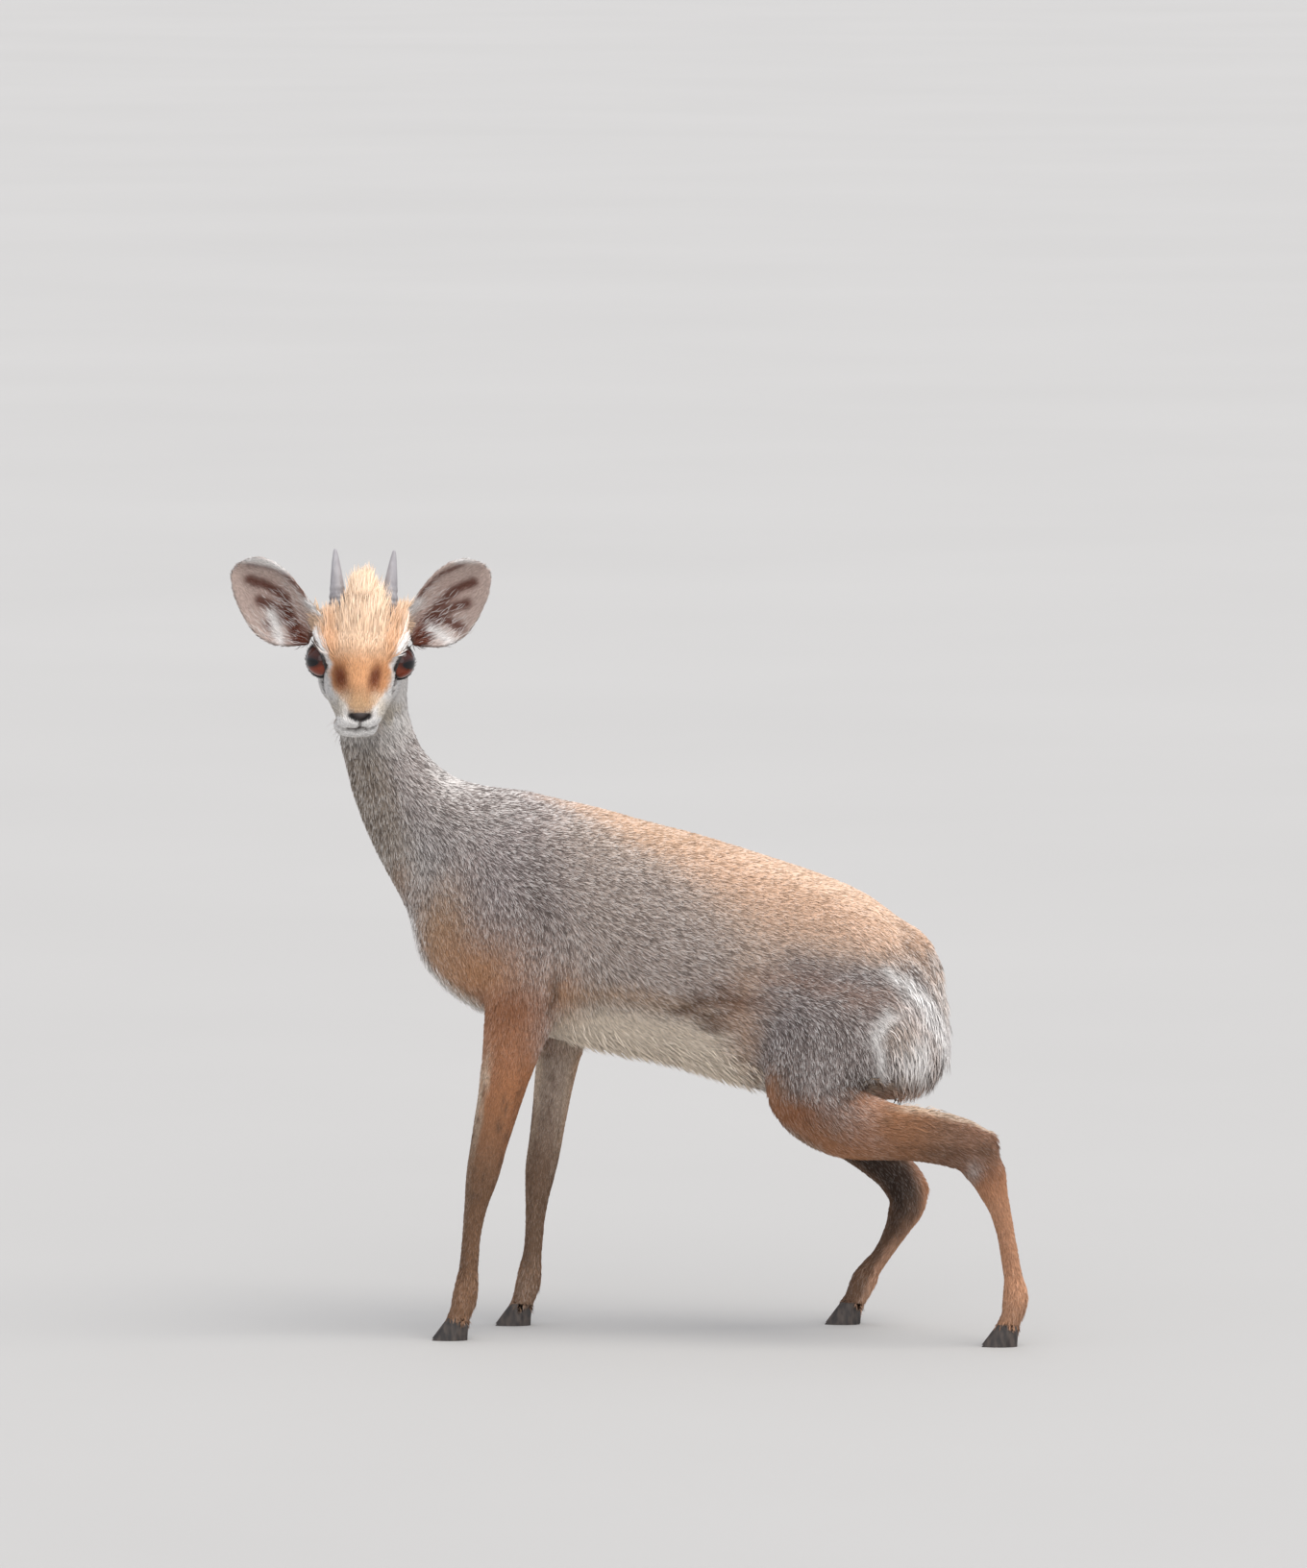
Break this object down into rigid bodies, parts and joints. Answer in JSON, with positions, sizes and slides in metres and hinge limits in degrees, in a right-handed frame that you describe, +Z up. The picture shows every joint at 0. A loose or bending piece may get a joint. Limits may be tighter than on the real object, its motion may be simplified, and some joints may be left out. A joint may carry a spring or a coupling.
{
  "type": "dik-dik",
  "caption": "Life-size still model of a male dik-dik antelope standing with its head turned to the side and one hind leg stretched back.",
  "frame": {"origin": "on the ground, at the middle of the box around the animal", "axes": "-X is where the chest and shoulders are, +X is the rump, -Y is the animal's left and where the face looks, +Z is up"},
  "size_m": [0.5374, 0.1416, 0.5351],
  "materials": {
    "grey_coat": "short dense fur, grizzled grey, pale below",
    "rufous_coat": "short fur, bright orange brown",
    "leg_coat": "very short sleek fur, orange brown",
    "horn": "ringed grey horn",
    "hoof": "dark horn, dull sheen",
    "eye": "wet dark brown"
  },
  "bodies": {
    "root": {"trunk": "grey_coat", "neck": "grey_coat", "head": "rufous_coat", "crest": "rufous_coat", "tail": "rufous_coat", "ear_left": "grey_coat", "ear_right": "grey_coat", "eye_left": "eye", "eye_right": "eye", "horn_left": "horn", "horn_right": "horn", "foreleg_left_forearm": "leg_coat", "foreleg_left_cannon": "leg_coat", "foreleg_right_forearm": "leg_coat", "foreleg_right_cannon": "leg_coat", "hindleg_left_thigh": "grey_coat", "hindleg_left_shank": "leg_coat", "hindleg_left_cannon": "leg_coat", "hindleg_right_thigh": "grey_coat", "hindleg_right_shank": "leg_coat", "hindleg_right_cannon": "leg_coat", "forehoof_left_inner": "hoof", "forehoof_left_outer": "hoof", "forehoof_right_inner": "hoof", "forehoof_right_outer": "hoof", "hindhoof_left_inner": "hoof", "hindhoof_left_outer": "hoof", "hindhoof_right_inner": "hoof", "hindhoof_right_outer": "hoof"}
  },
  "joints": []
}
